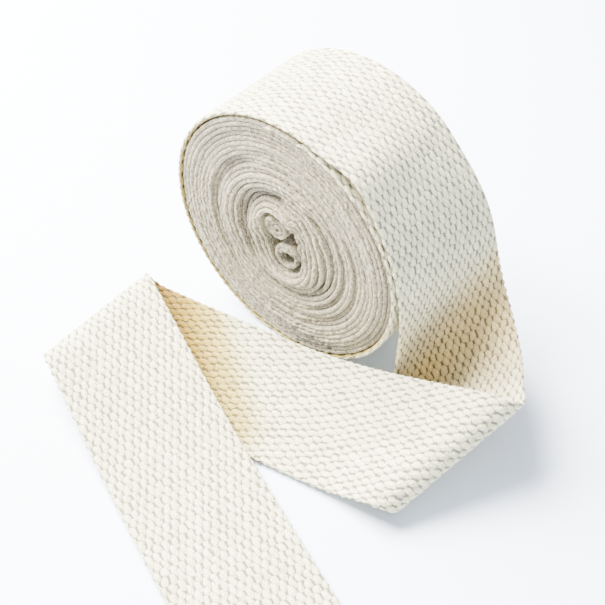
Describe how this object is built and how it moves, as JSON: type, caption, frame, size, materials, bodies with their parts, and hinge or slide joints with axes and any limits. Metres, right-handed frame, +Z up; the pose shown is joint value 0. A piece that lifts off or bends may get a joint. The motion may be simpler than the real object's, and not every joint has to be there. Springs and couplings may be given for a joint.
{
  "type": "roll of cotton webbing",
  "caption": "Roll of two-inch cotton webbing standing on its rim, its loose end folded back over itself across the floor.",
  "frame": {"origin": "middle of the part's box, on the floor it stands on", "axes": "+Z up, the roll's axis along Y, the shown end of the roll facing -Y, the loose end leaving on +X"},
  "size_m": [0.1734, 0.1854, 0.1074],
  "materials": {
    "wound_turns": "matt",
    "webbing": "matt"
  },
  "bodies": {
    "root": {"wound_roll": "wound_turns", "loose_end": "webbing"}
  },
  "joints": []
}
